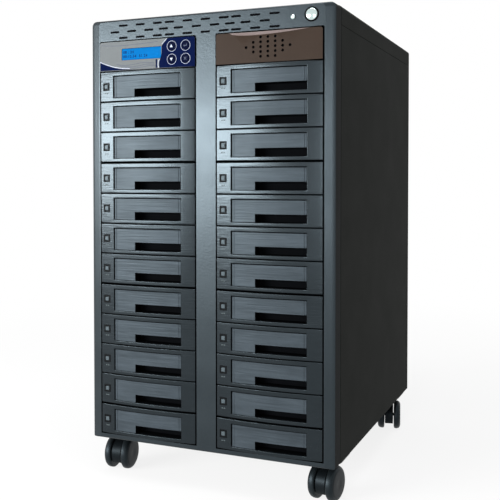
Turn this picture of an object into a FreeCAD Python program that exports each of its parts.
"""A drive duplicator tower: two columns of removable drive carriers in a wheeled steel case.

Frame: X to the right, Y to the back, Z up.  The origin is on the floor, in the middle of the
bounding box.  Every object is drawn with its front face at Y = 0 and each sub-part's Placement
then moves it back to that origin.  All sizes are in millimetres.
"""
import FreeCAD, Part
import math
import os
import re
import Sketcher

App = FreeCAD
doc = App.newDocument("DriveDuplicator")

# ---------------------------------------------------------------- driving dimensions
SIZES = {
    # case
    "case_wide": 358.0,          # over the side panels
    "case_deep": 442.0,          # front face to rear face
    "skin_thick": 1.2,           # sheet steel of covers, base and rear
    "front_thick": 1.5,          # sheet steel of the front
    "front_deep": 26.0,          # return flange of the front panel
    "rear_deep": 14.0,           # return flange of the rear panel
    "cover_flange": 25.0,        # side flange of the top cover
    "side_flange": 9.0,          # inward flange of a side panel
    "base_flange": 14.0,         # upturned flange of the base pan
    "seam_gap": 0.4,             # shadow gap between case panels
    "corner_radius": 5.0,        # top corners of the case
    "front_round": 2.0,          # folded front edge
    # bay openings
    "side_stile": 14.6,
    "centre_stile": 29.6,
    "top_zone": 29.9,            # front face above the openings
    "bottom_rail": 7.8,          # front face under the openings
    "panel_high": 40.0,          # the panel that fills the top bay
    "bezel_high": 40.8,          # one drive bay
    "bay_gap": 1.3,
    "group_gap": 1.2,            # more gap after each group of four bays
    "side_gap": 1.3,             # bezel to stile
    # rack in a bay
    "bezel_bow": 4.2,            # how far the middle of a bezel stands out
    "bezel_proud": 0.6,          # edge of a bezel ahead of the case
    "bezel_thick": 3.0,
    "rack_deep": 190.0,
    "rack_inset": 0.5,           # rack sleeve inside its bezel's outline
    "door_left": 21.6,           # bezel's left edge to the carrier opening
    "door_right": 20.4,
    "door_low": 4.7,
    "door_above": 5.8,
    "strip_left": 4.5,           # recess for the button and the lamps
    "strip_wide": 13.6,
    "strip_low": 6.8,
    "strip_sink": 0.3,
    "button_x": 10.1,
    "button_wide": 10.3,
    "button_cap": 6.2,
    "button_deep": 2.1,
    "cap_proud": 0.6,
    "lamp_drop": 9.3,            # button centre to lamp centre
    "lamp_wide": 6.0,            # lens over a pair of lamps
    "lamp_high": 1.8,
    "lamp_proud": 0.5,
    "board_thick": 1.6,
    # carrier
    "carrier_gap": 1.6,          # shadow gap at the left of the carrier's front
    "carrier_top_gap": 1.0,
    "slide_gap": 0.3,
    "carrier_sink": 0.7,         # carrier's front behind the bezel's front
    "carrier_front": 14.0,       # depth of the carrier's front block
    "slot_wide": 70.0,           # finger slot
    "slot_high": 10.8,
    "slot_back": 2.2,            # wall behind the finger slot
    "drive_step": 2.2,           # drive cover inside the tray walls
    "tray_wall": 12.0,
    # front face fittings
    "vent_wide": 13.8,
    "vent_high": 1.8,
    "vent_drop": 17.5,           # case top to the middle row of vents
    "vent_row": 8.45,
    "power_x": 147.8,
    "power_drop": 14.2,
    "power_radius": 7.4,
    "power_proud": 2.6,
    "sleeve_radius": 9.4,
    "sleeve_proud": 0.8,
    "reset_x": 123.0,
    "reset_drop": 16.0,
    "reset_radius": 3.0,
    "sleeve_deep": 14.0,
    "button_long": 8.0,
    "press_gap": 0.3,            # round a button in its sleeve
    # top bay panels
    "panel_proud": 2.4,
    "panel_back": 0.6,
    "panel_round": 3.0,
    "window_left": 35.3,         # display window from the panel's left edge
    "window_wide": 62.0,
    "window_low": 13.7,
    "window_high": 16.2,
    "key_radius": 6.2,
    "key_proud": 1.4,
    "key_right": 25.6,           # right column of keys from the panel's right edge less half
    "key_space": 20.8,
    "key_rise": 17.6,
    "hole_radius": 1.5,
    "hole_column": 10.1,
    "hole_row": 6.2,
    "module_deep": 70.0,
    # rear
    "supply_wide": 150.0,
    "supply_high": 86.0,
    "supply_deep": 140.0,
    "supply_x": 80.0,
    "supply_drop": 8.0,
    "window_rim": 4.0,
    "inlet_wide": 26.0,
    "inlet_high": 19.0,
    "inlet_deep": 16.0,
    "pin_long": 10.0,
    "rocker_wide": 12.0,
    "rocker_high": 17.6,
    "rocker_proud": 2.5,
    "rocker_gap": 1.8,
    "fan_size": 120.0,
    "fan_deep": 25.0,
    "fan_bore": 57.5,
    "fan_height": 270.0,         # floor to the fan's centre
    "hub_radius": 20.0,
    "blade_gap": 1.5,
    "blade_thick": 1.6,
    "blade_wide": 22.0,
    "blade_pitch": 38.0,
    "shaft_radius": 2.0,
    "shaft_gap": 0.05,
    # casters
    "caster_high": 54.0,         # floor to the case
    "caster_x": 158.0,
    "caster_front": 56.0,
    "caster_rear": 48.0,
    "caster_trail": 15.0,
    "wheel_gap": 6.0,            # wheel tread to the mount plate
    "wheel_outer": 18.8,
    "wheel_inner": 7.8,
    "axle_radius": 2.5,
    "hood_inset": 1.6,           # hood inside the wheels' outline
    "hood_half": 7.3,
    "hood_low": 8.6,
    "neck_half": 9.0,
    "stem_radius": 4.0,
    "stem_high": 6.4,            # stem inside the mount's cup
    "stem_root": 10.0,           # axle height to the stem's foot
    "mount_half": 20.0,
    "mount_thick": 2.0,
    "cup_half": 9.0,
    "cup_high": 5.0,
    "swivel_gap": 0.3,
    "turn_front_left": 5.0,      # headings of the four casters
    "turn_front_right": -9.0,
    "turn_rear_left": -12.0,
    "turn_rear_right": 12.0,
}

ROWS = 12
GROUP = 4
BLADES = 7

# ---------------------------------------------------------------- places worked out from the sizes
HALF = "(case_wide / 2)"
LOW = "caster_high"
OPEN_WIDE = "((case_wide - centre_stile) / 2 - side_stile)"
COLUMN = f"(centre_stile / 2 + {OPEN_WIDE} / 2)"
STACK = f"(panel_high + {ROWS} * (bezel_high + bay_gap) + {ROWS // GROUP} * group_gap + 2 * bay_gap)"
OPEN_LOW = "(caster_high + bottom_rail)"
OPEN_TOP = f"({OPEN_LOW} + {STACK})"
TOP = f"({OPEN_TOP} + top_zone)"
PANEL_LOW = f"({OPEN_TOP} - bay_gap - panel_high)"
BEZEL_HALF = f"({OPEN_WIDE} / 2 - side_gap)"
BOW = f"(({BEZEL_HALF} * {BEZEL_HALF} + bezel_bow * bezel_bow) / (2 * bezel_bow))"
BOW_Y = f"({BOW} - bezel_proud - bezel_bow)"
DOOR_X = (f"(door_left - {BEZEL_HALF})", f"({BEZEL_HALF} - door_right)")
DOOR_Z = ("door_low", "(bezel_high - door_above)")
STRIP_Y = "(strip_sink - bezel_proud)"
BUTTON_X = f"(button_x - {BEZEL_HALF})"
BUTTON_Z = "(bezel_high / 2)"
SUPPLY_Z = (f"({TOP} - supply_drop - supply_high)", f"({TOP} - supply_drop)")
SUPPLY_BACK = "(case_deep - skin_thick)"
WHEEL = "((caster_high - mount_thick - wheel_gap) / 2)"
HOOD = f"({WHEEL} - hood_inset)"
ORIGIN_Y = "((bezel_proud + bezel_bow - case_deep - rocker_proud) / 2)"

sheet = doc.addObject("Spreadsheet::Sheet", "sizes")
for line, (alias, number) in enumerate(SIZES.items(), 1):
    sheet.set(f"A{line}", alias)
    sheet.set(f"B{line}", str(number))
    sheet.setAlias(f"B{line}", alias)
doc.recompute()

nodes = []


# ---------------------------------------------------------------- small helpers
def bind(thing, prop, text):
    """Bind a property to an expression; size names are looked up in the sheet."""
    def named(word):
        return "sizes." + word.group() if word.group() in SIZES else word.group()
    thing.setExpression(prop, re.sub(r"[a-z_]+", named, str(text)))


def place(thing, x="0", y="0", z="0"):
    for axis, text in zip("xyz", (x, y, z)):
        bind(thing, f".Placement.Base.{axis}", text)
    return thing


def box(name, x, y, z):
    """Box between the low and high ends given for each axis."""
    made = doc.addObject("Part::Box", name)
    for side, (low, high) in zip(("Length", "Width", "Height"), (x, y, z)):
        bind(made, side, f"({high}) - ({low})")
    return place(made, x[0], y[0], z[0])


AIM = {
    "x": App.Rotation(App.Vector(0, 1, 0), 90),
    "y": App.Rotation(App.Vector(1, 0, 0), -90),
    "z": App.Rotation(),
}


def rod(name, axis, start, radius, long):
    """Cylinder from start along an axis."""
    made = doc.addObject("Part::Cylinder", name)
    made.Placement = App.Placement(App.Vector(), AIM[axis])
    bind(made, "Radius", radius)
    bind(made, "Height", long)
    return place(made, *start)


def compound(name, things):
    made = doc.addObject("Part::Compound", name)
    made.Links = things
    return made


def fuse(name, things):
    made = doc.addObject("Part::MultiFuse", name)
    made.Shapes = things
    made.Refine = True
    return made


def cut(name, base, tools):
    made = doc.addObject("Part::Cut", name)
    made.Base = base
    made.Tool = tools[0] if len(tools) == 1 else compound(name + "_tools", tools)
    made.Refine = True
    return made


def common(name, first, second):
    made = doc.addObject("Part::Common", name)
    made.Base = first
    made.Tool = second
    return made


def copy_of(thing, name, x="0", y="0", z="0", turn=None):
    """A placed copy of an object, turned about Z by the named angle."""
    made = compound(name, [thing])
    if turn:
        made.Placement = App.Placement(App.Vector(), App.Rotation(App.Vector(0, 0, 1), 30))
        bind(made, ".Placement.Rotation.Angle", turn)
    return place(made, x, y, z)


def sub_part(thing, label, x="0", z="0"):
    """Name a finished sub-part and move it to the shared origin."""
    thing.Label = label
    place(thing, x, ORIGIN_Y, z)
    nodes.append(thing)
    return thing


# ---------------------------------------------------------------- sketches and body features
def new_body(name):
    return doc.addObject("PartDesign::Body", name)


def sketch(body, name, role, offset="0"):
    made = body.newObject("Sketcher::SketchObject", name)
    plane = [item for item in body.Origin.OriginFeatures if item.Role == role][0]
    made.AttachmentSupport = (plane, [""])
    made.MapMode = "FlatFace"
    bind(made, ".AttachmentOffset.Base.z", offset)
    return made


def pin_point(drawing, edge, end, x, y, guess):
    """Drive a point of the sketch by its two coordinates."""
    for kind, text, start in (("DistanceX", x, guess.x), ("DistanceY", y, guess.y)):
        number = drawing.addConstraint(Sketcher.Constraint(kind, -1, 1, edge, end, start))
        bind(drawing, f"Constraints[{number}]", text)


def outline(drawing, corners):
    """Closed outline of straight lines through corners given as expressions."""
    count = len(corners)
    first = drawing.GeometryCount
    turn = 2 * math.pi / count
    guess = [App.Vector(math.cos(turn * k), math.sin(turn * k), 0) for k in range(count)]
    for k in range(count):
        drawing.addGeometry(Part.LineSegment(guess[k], guess[(k + 1) % count]), False)
    for k in range(count):
        after = first + (k + 1) % count
        drawing.addConstraint(Sketcher.Constraint("Coincident", first + k, 2, after, 1))
    for k, (x, y) in enumerate(corners):
        pin_point(drawing, first + k, 1, x, y, guess[k])


def rectangle(drawing, x, y):
    outline(drawing, [(x[0], y[0]), (x[1], y[0]), (x[1], y[1]), (x[0], y[1])])


def circle(drawing, x, y, radius):
    centre = App.Vector(1, 1, 0)
    ring = drawing.addGeometry(Part.Circle(centre, App.Vector(0, 0, 1), 1), False)
    pin_point(drawing, ring, 3, x, y, centre)
    number = drawing.addConstraint(Sketcher.Constraint("Radius", ring, 1))
    bind(drawing, f"Constraints[{number}]", radius)


def feature(body, kind, name, profile, long, back=False):
    made = body.newObject("PartDesign::" + kind, name)
    made.Profile = profile
    bind(made, "Length", long)
    made.Reversed = back
    doc.recompute()
    return made


def pocket(body, name, profile, long):
    """Pocket that must take material away."""
    before = body.Tip.Shape.Volume
    made = feature(body, "Pocket", name, profile, long)
    if made.Shape.Volume >= before:
        raise ValueError(f"{name} cuts nothing")
    return made


def facing(shape, way):
    """Names of the outermost flat faces that look along a way such as '-z'."""
    axis = "xyz".index(way[1])
    sign = -1 if way[0] == "-" else 1
    found = []
    for number, face in enumerate(shape.Faces, 1):
        if isinstance(face.Surface, Part.Plane) and face.normalAt(0, 0)[axis] * sign > 0.99:
            found.append((face.CenterOfMass[axis] * sign, f"Face{number}"))
    furthest = max(found)[0]
    return [name for depth, name in found if furthest - depth < 0.01]


def edges_along(shape, axis, test):
    """Names of the straight edges along an axis whose middle passes the test."""
    across = ["xyz".index(other) for other in "xyz" if other != axis]
    found = []
    for number, edge in enumerate(shape.Edges, 1):
        ends = [vertex.Point for vertex in edge.Vertexes]
        straight = len(ends) == 2 and all(abs(ends[0][k] - ends[1][k]) < 0.01 for k in across)
        if straight and test(edge.CenterOfMass):
            found.append(f"Edge{number}")
    return found


def round_edges(body, name, edges, radius):
    made = body.newObject("PartDesign::Fillet", name)
    made.Base = (body.Group[-2], edges)
    bind(made, "Radius", radius)
    body.Tip = made
    doc.recompute()


def round_upper(body, name, radius, inset=0.0):
    """Round the two upper corners seen from the front, a given inset inside the outline."""
    shape = body.Tip.Shape
    bounds = shape.BoundBox

    def upper(middle):
        level = abs(middle.z - bounds.ZMax + inset) < 0.01
        return level and abs(abs(middle.x - bounds.Center.x) - bounds.XLength / 2 + inset) < 0.01
    round_edges(body, name, edges_along(shape, "y", upper), radius)


def pan(name, x, y, z, open_ways, wall, rounded=False):
    """Folded sheet part: a block hollowed out towards its open sides."""
    body = new_body(name)
    base = sketch(body, name + "_base", "XZ_Plane", f"-({y[0]})")
    rectangle(base, x, z)
    feature(body, "Pad", name + "_block", base, f"({y[1]}) - ({y[0]})", True)
    inner = []
    for axis, ends in zip("xyz", (x, y, z)):
        low = ends[0] if "-" + axis in open_ways else f"({ends[0]}) + {wall}"
        high = ends[1] if "+" + axis in open_ways else f"({ends[1]}) - {wall}"
        inner.append((low, high))
    hollow = sketch(body, name + "_hollow", "XZ_Plane", f"-({inner[1][0]})")
    rectangle(hollow, inner[0], inner[2])
    pocket(body, name + "_inside", hollow, f"({inner[1][1]}) - ({inner[1][0]})")
    if rounded:
        round_upper(body, name + "_inner_corners", f"corner_radius - {wall}", SIZES[wall])
        round_upper(body, name + "_corners", "corner_radius")
    return body


# ---------------------------------------------------------------- case
def vent_centres():
    """Vent slots: groups of 3, 4 and 3 above and below, the middle row between them."""
    pitch = 26.9
    starts = ((-126.6, 3), (-54.2, 4), (44.0, 3))
    outer = [start + pitch * k for start, count in starts for k in range(count)]
    middle = [outer[0] - pitch / 2] + [(a + b) / 2 for a, b in zip(outer, outer[1:])]
    return [(x, 1) for x in outer] + [(x, 0) for x in middle] + [(x, -1) for x in outer]


def make_front_panel():
    body = pan("front_folded", (f"-{HALF}", HALF), ("0", "front_deep"), (LOW, TOP), ["+y"],
               "front_thick", True)
    fold = body.newObject("PartDesign::Chamfer", "front_fold")
    fold.Base = (body.Group[-2], facing(body.Group[-2].Shape, "-y"))
    bind(fold, "Size", "front_round")
    body.Tip = fold
    doc.recompute()
    openings = sketch(body, "bay_openings", "XZ_Plane")
    for side in ("-", ""):
        middle = f"({side}{COLUMN})"
        rectangle(openings, (f"{middle} - {OPEN_WIDE} / 2", f"{middle} + {OPEN_WIDE} / 2"),
                  (OPEN_LOW, OPEN_TOP))
    circle(openings, "power_x", f"{TOP} - power_drop", "sleeve_radius + shaft_gap")
    circle(openings, "reset_x", f"{TOP} - reset_drop", "reset_radius + press_gap")
    pocket(body, "bay_cuts", openings, "2 * front_thick")
    vents = []
    for number, (x, row) in enumerate(vent_centres()):
        middle = f"({TOP} - vent_drop + ({row}) * vent_row)"
        vents.append(box(f"vent_{number}", (f"{x} - vent_wide / 2", f"{x} + vent_wide / 2"),
                         ("-1", "front_thick + 1"),
                         (f"{middle} - vent_high / 2", f"{middle} + vent_high / 2")))
    sub_part(cut("vented_front", body, vents), "front_panel")


def make_case():
    make_front_panel()
    front = "(front_deep + seam_gap)"
    back = "(case_deep - rear_deep - seam_gap)"
    cover_low = f"({TOP} - cover_flange)"
    cover = pan("top_cover", (f"-{HALF}", HALF), (front, back), (cover_low, TOP),
                ["-z", "-y", "+y"], "skin_thick", True)
    sub_part(cover, "top_cover")
    inner = f"({HALF} - side_flange)"
    side_z = (LOW, f"({cover_low} - seam_gap)")
    left = pan("left_side_panel", (f"-{HALF}", f"-{inner}"), (front, back), side_z, ["+x"], "skin_thick")
    sub_part(left, "left_side_panel")
    right = pan("right_side_panel", (inner, HALF), (front, back), side_z, ["-x"], "skin_thick")
    sub_part(right, "right_side_panel")
    base_x = f"({inner} - seam_gap)"
    base = pan("base_pan", (f"-{base_x}", base_x), (front, back), (LOW, f"{LOW} + base_flange"),
               ["+z", "-y"], "skin_thick")
    sub_part(base, "base_pan")
    make_rear_panel()


def fan_slots(drawing):
    """Level slots that fill the fan's circle."""
    rows = 7
    pitch = 15.0
    for row in range(-(rows // 2), rows // 2 + 1):
        half = math.sqrt(1 - (row * 2 / (rows + 1)) ** 2)
        middle = f"fan_height + ({row * pitch})"
        rectangle(drawing, (f"-{half:.3f} * fan_bore", f"{half:.3f} * fan_bore"),
                  (f"{middle} - 3", f"{middle} + 3"))


def make_rear_panel():
    body = pan("rear_panel", (f"-{HALF}", HALF), ("case_deep - rear_deep", "case_deep"), (LOW, TOP),
               ["-y"], "skin_thick", True)
    windows = sketch(body, "rear_windows", "XZ_Plane", "-(case_deep - 2 * skin_thick)")
    for side in ("-", ""):
        rectangle(windows, (f"{side}supply_x - supply_wide / 2 + window_rim",
                            f"{side}supply_x + supply_wide / 2 - window_rim"),
                  (f"{SUPPLY_Z[0]} + window_rim", f"{SUPPLY_Z[1]} - window_rim"))
    fan_slots(windows)
    pocket(body, "rear_cuts", windows, "3 * skin_thick")
    sub_part(body, "rear_panel")


# ---------------------------------------------------------------- racks in the bays
def row_low(row):
    """Floor to the lower edge of a drive bay, counted from 1 at the top."""
    return f"({PANEL_LOW} - {row} * (bezel_high + bay_gap) - {row // GROUP} * group_gap)"


def bays():
    """Name, X and Z of every drive bay."""
    for letter, side in (("l", "-"), ("r", "")):
        for row in range(1, ROWS + 1):
            yield f"{letter}{row:02d}", f"({side}{COLUMN})", row_low(row)


def in_every_bay(thing, label):
    """Copies of one piece in every bay, joined in one sub-part."""
    copies = [copy_of(thing, f"{label}_{bay}", x, "0", z) for bay, x, z in bays()]
    return sub_part(compound(label, copies), label)


def bowed(name, x, y_back, z, sink):
    """Block whose front is bowed like the bezels, set back by sink."""
    block = box(name + "_block", x, (f"-bezel_bow - bezel_proud + ({sink})", y_back), z)
    bend = rod(name + "_bend", "z", ("0", f"{BOW_Y} + ({sink})", f"({z[0]}) - 1"), BOW,
               f"({z[1]}) - ({z[0]}) + 2")
    return common(name, block, bend)


def make_racks():
    bezel = bowed("bezel", (f"-{BEZEL_HALF}", BEZEL_HALF), "bezel_thick", ("0", "bezel_high"), "0")
    sleeve_half = f"({BEZEL_HALF} - rack_inset)"
    sleeve = box("sleeve", (f"-{sleeve_half}", sleeve_half), ("bezel_thick", "rack_deep"),
                 ("rack_inset", "bezel_high - rack_inset"))
    hollow = box("rack_hollow", DOOR_X, ("-10", "rack_deep + 1"), DOOR_Z)
    strip = box("strip_recess", (f"strip_left - {BEZEL_HALF}", f"strip_left + strip_wide - {BEZEL_HALF}"),
                ("-10", STRIP_Y), ("strip_low", "bezel_high - door_above"))
    rack = cut("rack", fuse("rack_solid", [bezel, sleeve]), [hollow, strip])
    in_every_bay(rack, "rack_frames")

    def square(name, half, y):
        return box(name, (f"{BUTTON_X} - {half}", f"{BUTTON_X} + {half}"), y,
                   (f"{BUTTON_Z} - {half}", f"{BUTTON_Z} + {half}"))
    face = f"({STRIP_Y} - button_deep)"
    collar = square("button_collar", "button_wide / 2", (face, STRIP_Y))
    cap = square("button_cap_piece", "button_cap / 2", (f"{face} - cap_proud", face))
    in_every_bay(compound("rack_button", [collar, cap]), "rack_buttons")

    lamp_z = f"({BUTTON_Z} - lamp_drop)"
    lamp = box("rack_lamp", (f"{BUTTON_X} - lamp_wide / 2", f"{BUTTON_X} + lamp_wide / 2"),
               (f"{STRIP_Y} - lamp_proud", STRIP_Y),
               (f"{lamp_z} - lamp_high / 2", f"{lamp_z} + lamp_high / 2"))
    in_every_bay(lamp, "rack_lamps")

    boards = []
    for side in ("-", ""):
        boards.append(box(f"backplane_{side and 'l'}",
                          (f"{side}{COLUMN} + {DOOR_X[0]} - 6", f"{side}{COLUMN} + {DOOR_X[1]} + 6"),
                          ("rack_deep", "rack_deep + board_thick"),
                          (f"{row_low(ROWS)} + 2", f"{PANEL_LOW} - bay_gap - 2")))
    sub_part(compound("rack_backplanes_part", boards), "rack_backplanes")
    make_cage()


def make_cage():
    """Four upright plates that the racks are screwed to."""
    plates = []
    half = f"({BEZEL_HALF} - rack_inset)"
    for side in ("-", ""):
        for name, low, high in (("a", f"-{half} - skin_thick", f"-{half}"),
                                ("b", half, f"{half} + skin_thick")):
            plates.append(box(f"cage_{side and 'l'}{name}",
                              (f"{side}{COLUMN} + ({low})", f"{side}{COLUMN} + ({high})"),
                              ("bezel_thick", "rack_deep"), (f"{LOW} + front_thick", f"{OPEN_TOP} + 8")))
    sub_part(compound("bay_cage", plates), "bay_cage")


def make_carriers():
    """Drive carrier: bowed front with a finger slot, tray walls and the drive's cover."""
    x = (f"({DOOR_X[0]} + carrier_gap)", f"({DOOR_X[1]} - slide_gap)")
    z = ("(door_low + slide_gap)", f"({DOOR_Z[1]} - carrier_top_gap)")
    front = bowed("carrier_front_block", x, "carrier_front", z, "carrier_sink")
    slot = box("finger_slot", (f"{x[1]} - slot_wide", f"{x[1]} + 1"), ("-10", "carrier_front - slot_back"),
               (f"{z[0]} - 1", f"{z[0]} + slot_high"))
    tray = new_body("tray")
    section = sketch(tray, "tray_section", "XZ_Plane", "-carrier_front")
    step = "drive_step"
    outline(section, [
        (x[0], z[0]),
        (x[1], z[0]),
        (x[1], f"{z[0]} + tray_wall"),
        (f"{x[1]} - {step}", f"{z[0]} + tray_wall"),
        (f"{x[1]} - {step}", f"{z[1]} - {step}"),
        (f"{x[0]} + {step}", f"{z[1]} - {step}"),
        (f"{x[0]} + {step}", f"{z[0]} + tray_wall"),
        (x[0], f"{z[0]} + tray_wall"),
    ])
    feature(tray, "Pad", "tray_length", section, "rack_deep - carrier_front - slide_gap", True)
    carrier = fuse("carrier", [cut("carrier_front_piece", front, [slot]), tray])
    for bay, column, low in bays():
        sub_part(copy_of(carrier, f"carrier_{bay}"), f"carrier_{bay}", column, low)


# ---------------------------------------------------------------- top bay panels and buttons
def top_panel(name, column):
    """Plate that fills a top bay, with rounded upper corners."""
    body = new_body(name + "_plate")
    face = sketch(body, name + "_face", "XZ_Plane", "panel_proud")
    rectangle(face, (f"{column} - {BEZEL_HALF}", f"{column} + {BEZEL_HALF}"),
              (PANEL_LOW, f"{PANEL_LOW} + panel_high"))
    feature(body, "Pad", name + "_sheet", face, "panel_proud + panel_back", True)
    round_upper(body, name + "_corners", "panel_round")
    return body


LEFT_EDGE = f"(-{COLUMN} - {BEZEL_HALF})"
RIGHT_EDGE = f"(-{COLUMN} + {BEZEL_HALF})"
WINDOW_X = (f"({LEFT_EDGE} + window_left)", f"({LEFT_EDGE} + window_left + window_wide)")
WINDOW_Z = (f"({PANEL_LOW} + window_low)", f"({PANEL_LOW} + window_low + window_high)")


def key_places():
    """Name and centre of each of the four keys."""
    middle = f"({PANEL_LOW} + panel_high / 2)"
    outer = f"({RIGHT_EDGE} - key_right / 2)"
    inner = f"({outer} - key_space)"
    return (
        ("key_up", inner, f"({middle} + key_rise / 2)"),
        ("key_down", inner, f"({middle} - key_rise / 2)"),
        ("key_enter", outer, f"({middle} + key_rise / 2)"),
        ("key_back", outer, f"({middle} - key_rise / 2)"),
    )


def draw_control(drawing):
    rectangle(drawing, WINDOW_X, WINDOW_Z)
    for name, x, z in key_places():
        circle(drawing, x, z, "key_radius + press_gap")


def speaker_holes():
    """Seven columns of six-sided holes: one, three, five, five, five, three and one."""
    holes = []
    for column, count in enumerate((1, 3, 5, 5, 5, 3, 1), -3):
        for row in range(count):
            height = row - (count - 1) / 2
            hole = doc.addObject("Part::Prism", f"speaker_hole_{len(holes)}")
            hole.Polygon = 6
            hole.Placement = App.Placement(App.Vector(), AIM["y"])
            bind(hole, "Circumradius", "hole_radius")
            bind(hole, "Height", "panel_proud + panel_back + 2")
            place(hole, f"{COLUMN} + ({column}) * hole_column", "-panel_proud - 1",
                  f"{PANEL_LOW} + panel_high / 2 + ({height}) * hole_row")
            holes.append(hole)
    return holes


def make_top_bays():
    control = top_panel("control_panel", f"(-{COLUMN})")
    holes = sketch(control, "control_holes", "XZ_Plane", "panel_proud")
    draw_control(holes)
    pocket(control, "control_cuts", holes, "2 * (panel_proud + panel_back)")
    sub_part(control, "control_panel")
    sub_part(cut("speaker_grille", top_panel("speaker_panel", COLUMN), speaker_holes()), "speaker_panel")
    for name, x, z in key_places():
        key = rod(name + "_cap", "y", ("0", "0", "0"), "key_radius", "panel_proud + key_proud + panel_back")
        copy = copy_of(key, name + "_place", "0", "-panel_proud - key_proud", "0")
        sub_part(compound(name + "_part", [copy]), name, x, z)
    glass = box("display_glass", (f"{WINDOW_X[0]} + press_gap", f"{WINDOW_X[1]} - press_gap"),
                ("-panel_proud + 0.5", "panel_back"),
                (f"{WINDOW_Z[0]} + press_gap", f"{WINDOW_Z[1]} - press_gap"))
    frame = box("display_frame", (f"{WINDOW_X[0]} - 2", f"{WINDOW_X[1]} + 2"),
                ("panel_back", "panel_back + 3"), (f"{WINDOW_Z[0]} - 2", f"{WINDOW_Z[1]} + 2"))
    board = box("display_board", (f"{LEFT_EDGE} + 4", f"{RIGHT_EDGE} - 4"),
                ("panel_back + 3", "panel_back + 3 + board_thick"),
                (f"{PANEL_LOW} + 2", f"{PANEL_LOW} + panel_high - 2"))
    sub_part(compound("display_module_part", [glass, frame, board]), "display_module")
    modules = []
    for side, front in (("-", "panel_back + 3 + board_thick"), ("", "panel_back")):
        modules.append(box(f"module_{side and 'l'}",
                           (f"{side}{COLUMN} - {BEZEL_HALF} + rack_inset",
                            f"{side}{COLUMN} + {BEZEL_HALF} - rack_inset"),
                           (front, "module_deep"),
                           (f"{PANEL_LOW} + rack_inset", f"{PANEL_LOW} + panel_high - rack_inset")))
    sub_part(compound("bay_modules_part", modules), "bay_modules")


def make_buttons():
    """Power button in a round sleeve, and a small reset button in the front itself."""
    power_z = f"({TOP} - power_drop)"
    wall = rod("power_wall", "y", ("power_x", "-sleeve_proud", power_z), "sleeve_radius",
               "sleeve_proud + sleeve_deep")
    bore = rod("power_bore", "y", ("power_x", "-sleeve_proud - 1", power_z), "power_radius + press_gap",
               "sleeve_proud + sleeve_deep - 2")
    sub_part(cut("power_sleeve_part", wall, [bore]), "power_sleeve")
    for name, x, z, radius in (("power", "power_x", power_z, "power_radius"),
                               ("reset", "reset_x", f"({TOP} - reset_drop)", "reset_radius")):
        button = rod(name + "_plunger", "y", ("0", "0", "0"), radius, "power_proud + button_long")
        copy = copy_of(button, name + "_place", "0", "-power_proud", "0")
        sub_part(compound(name + "_part", [copy]), name + "_button", x, z)


# ---------------------------------------------------------------- rear pieces
def make_supplies():
    """Two power supplies with an inlet and a rocker switch each."""
    supplies = []
    for number, side in (("1", "-"), ("2", "")):
        middle = f"({side}supply_x)"
        block = box(f"supply_{number}_case", (f"{middle} - supply_wide / 2", f"{middle} + supply_wide / 2"),
                    (f"{SUPPLY_BACK} - supply_deep", SUPPLY_BACK), SUPPLY_Z)
        inlet_x = f"({middle} + 48)"
        inlet_z = f"({SUPPLY_Z[0]} + 24)"
        inlet = box(f"inlet_{number}", (f"{inlet_x} - inlet_wide / 2", f"{inlet_x} + inlet_wide / 2"),
                    (f"{SUPPLY_BACK} - inlet_deep", f"{SUPPLY_BACK} + 1"),
                    (f"{inlet_z} - inlet_high / 2", f"{inlet_z} + inlet_high / 2"))
        rocker_z = f"({SUPPLY_Z[0]} + 60)"
        wide = "(rocker_wide / 2 + press_gap)"
        high = "(rocker_high / 2 + rocker_gap)"
        well = box(f"well_{number}", (f"{inlet_x} - {wide}", f"{inlet_x} + {wide}"),
                   (f"{SUPPLY_BACK} - 9", f"{SUPPLY_BACK} + 1"),
                   (f"{rocker_z} - {high}", f"{rocker_z} + {high}"))
        vents = []
        for k in range(5):
            left = f"({middle} - 60 + {k * 18})"
            vents.append(box(f"supply_{number}_vent_{k}", (left, f"{left} + 9"),
                             (f"{SUPPLY_BACK} - 3", f"{SUPPLY_BACK} + 1"),
                             (f"{SUPPLY_Z[0]} + 16", f"{SUPPLY_Z[1]} - 16")))
        supplies.append(cut(f"supply_{number}", block, [inlet, well] + vents))
        for k, (across, up) in enumerate(((-7, -2), (0, 3), (7, -2))):
            supplies.append(box(f"pin_{number}_{k}",
                                (f"{inlet_x} + {across} - 1", f"{inlet_x} + {across} + 1"),
                                (f"{SUPPLY_BACK} - inlet_deep", f"{SUPPLY_BACK} - inlet_deep + pin_long"),
                                (f"{inlet_z} + {up} - 2", f"{inlet_z} + {up} + 2")))
        make_rocker(number, inlet_x, rocker_z)
    sub_part(compound("power_supplies_part", supplies), "power_supplies")


def make_rocker(number, x, z):
    """Rocker with its upper half pressed in: it turns about X through its origin."""
    body = new_body(f"rocker_{number}_body")
    section = sketch(body, f"rocker_{number}_section", "YZ_Plane", "-rocker_wide / 2")
    outline(section, [
        ("-4", "-rocker_high / 4"),
        ("skin_thick + rocker_proud + 2", "-rocker_high / 2"),
        ("2", "0"),
        ("2", "rocker_high / 2"),
        ("-4", "rocker_high / 4"),
    ])
    feature(body, "Pad", f"rocker_{number}_length", section, "rocker_wide")
    copy = copy_of(body, f"rocker_{number}_place", "0", f"{SUPPLY_BACK} - 2", "0")
    sub_part(compound(f"rocker_{number}_part", [copy]), f"supply_rocker_{number}", x, z)


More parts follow.
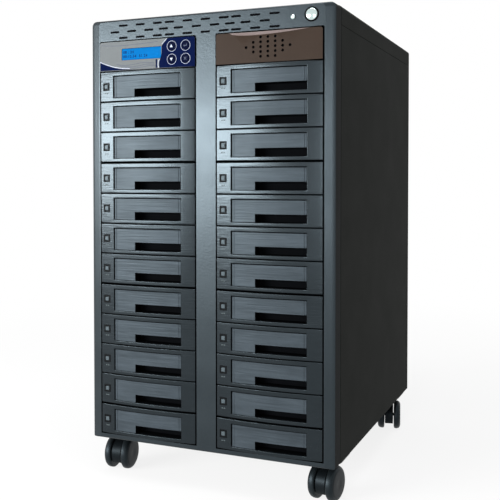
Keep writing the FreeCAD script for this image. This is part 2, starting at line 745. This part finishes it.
def make_fan():
    """Rear fan: square frame with a motor plate on struts, and its rotor."""
    half = "(fan_size / 2)"
    low = f"({SUPPLY_BACK} - fan_deep)"
    block = box("fan_block", (f"-{half}", half), (low, SUPPLY_BACK),
                (f"fan_height - {half}", f"fan_height + {half}"))
    bore = rod("fan_tunnel", "y", ("0", f"{low} - 1", "fan_height"), "fan_bore", "fan_deep + 2")
    motor = rod("fan_motor", "y", ("0", low, "fan_height"), "hub_radius", "4")
    struts = box("fan_strut_level", (f"-{half} + 1", f"{half} - 1"), (low, f"{low} + 3"),
                 ("fan_height - 3", "fan_height + 3"))
    upright = box("fan_strut_upright", ("-3", "3"), (low, f"{low} + 3"),
                  (f"fan_height - {half} + 1", f"fan_height + {half} - 1"))
    shaft = rod("fan_shaft", "y", ("0", low, "fan_height"), "shaft_radius", "16")
    sub_part(fuse("fan_frame_part", [cut("fan_ring", block, [bore]), motor, struts, upright, shaft]),
             "fan_frame")

    start = f"({low} + 4 + slide_gap)"
    hub = rod("hub", "y", ("0", start, "0"), "hub_radius", "fan_deep - 5.5")
    blades = []
    for k in range(BLADES):
        blade = doc.addObject("Part::Box", f"blade_{k}")
        bind(blade, "Length", "blade_thick")
        bind(blade, "Width", "blade_wide")
        bind(blade, "Height", "fan_bore - blade_gap - hub_radius + 3")
        around = App.Rotation(App.Vector(0, 1, 0), 360 / BLADES * k)
        pitched = App.Rotation(App.Vector(0, 0, 1), SIZES["blade_pitch"])
        lift = App.Vector(0, 0, SIZES["hub_radius"] - 3)
        middle = pitched.multVec(App.Vector(-SIZES["blade_thick"] / 2, -SIZES["blade_wide"] / 2, 0))
        blade.Placement = App.Placement(around.multVec(lift + middle), around.multiply(pitched))
        blades.append(blade)
    ring_y = f"{low} + 4 + fan_deep / 2 - 3"
    ring = copy_of(compound("blade_ring", blades), "blade_ring_place", "0", ring_y, "0")
    hole = rod("hub_hole", "y", ("0", f"{low} + 1", "0"), "shaft_radius + shaft_gap", "16")
    rotor = cut("rotor", fuse("rotor_solid", [hub, ring]), [hole])
    sub_part(compound("fan_rotor_part", [rotor]), "fan_rotor", "0", "fan_height")


# ---------------------------------------------------------------- casters
def make_swivel():
    """Hooded caster body with its stem, at the origin with the wheels towards the front."""
    disc = rod("hood_disc", "x", ("-hood_half", "-caster_trail", WHEEL), HOOD, "2 * hood_half")
    keep = box("hood_keep", ("-hood_half", "hood_half"), ("-60", "60"), ("hood_low", "caster_high"))
    neck = box("hood_neck", ("-hood_half", "hood_half"), ("-neck_half - 2", "neck_half"),
               (WHEEL, "caster_high - mount_thick - cup_high - swivel_gap"))
    stem = rod("stem", "z", ("0", "0", f"{WHEEL} + stem_root"), "stem_radius",
               f"caster_high - mount_thick - cup_high - {WHEEL} - stem_root + stem_high")
    bore = rod("axle_bore", "x", ("-hood_half - 1", "-caster_trail", WHEEL),
               "axle_radius + shaft_gap", "2 * hood_half + 2")
    return cut("swivel", fuse("swivel_solid", [common("hood", disc, keep), neck, stem]), [bore])


def make_wheel_pair():
    """Two wheels on their axle, turned about X."""
    body = new_body("wheel_pair")
    section = sketch(body, "wheel_section", "XY_Plane")
    outline(section, [
        ("-wheel_outer", "0"),
        ("wheel_outer", "0"),
        ("wheel_outer", WHEEL),
        ("wheel_inner", WHEEL),
        ("wheel_inner", "axle_radius"),
        ("-wheel_inner", "axle_radius"),
        ("-wheel_inner", WHEEL),
        ("-wheel_outer", WHEEL),
    ])
    turned = body.newObject("PartDesign::Revolution", "wheel_turned")
    turned.Profile = section
    turned.ReferenceAxis = (section, ["H_Axis"])
    turned.Angle = 360
    doc.recompute()
    return copy_of(body, "wheel_pair_place", "0", "-caster_trail", WHEEL)


def make_casters():
    swivel = make_swivel()
    wheels = make_wheel_pair()
    mounts = []
    back = "(case_deep - caster_rear)"
    for corner, x, y in (("front_left", "-caster_x", "caster_front"),
                         ("front_right", "caster_x", "caster_front"),
                         ("rear_left", "-caster_x", back),
                         ("rear_right", "caster_x", back)):
        turn = "turn_" + corner
        for thing, label in ((swivel, "caster_swivel_"), (wheels, "caster_wheels_")):
            turned = copy_of(thing, label + corner + "_turned", x, y, "0", turn)
            sub_part(compound(label + corner, [turned]), label + corner)
        plate = box(f"plate_{corner}", (f"{x} - mount_half", f"{x} + mount_half"),
                    (f"{y} - mount_half", f"{y} + mount_half"), (f"{LOW} - mount_thick", LOW))
        cup = box(f"cup_{corner}", (f"{x} - cup_half", f"{x} + cup_half"),
                  (f"{y} - cup_half", f"{y} + cup_half"),
                  (f"{LOW} - mount_thick - cup_high", f"{LOW} - mount_thick"))
        bore = rod(f"bore_{corner}", "z", (x, y, f"{LOW} - mount_thick - cup_high - 1"),
                   "stem_radius + shaft_gap", "stem_high + 1.3")
        mounts.append(cut(f"mount_{corner}", fuse(f"mount_solid_{corner}", [plate, cup]), [bore]))
    sub_part(compound("caster_mounts_part", mounts), "caster_mounts")


# ---------------------------------------------------------------- build, check and export
def check_and_export():
    doc.recompute()
    for thing in doc.Objects:
        if "Invalid" in thing.State or "Error" in thing.State:
            raise ValueError(f"{thing.Name} failed: {thing.State}")
    os.makedirs("parts", exist_ok=True)
    for node in nodes:
        shape = node.Shape
        if shape.isNull() or not shape.isValid() or not shape.Solids:
            raise ValueError(f"{node.Label} has no valid solid")
    for node in nodes:
        node.Shape.exportStep(f"parts/{node.Label}.step")
    print(len(nodes), "sub-parts written")


make_case()
make_racks()
make_carriers()
make_top_bays()
make_buttons()
make_supplies()
make_fan()
make_casters()
check_and_export()
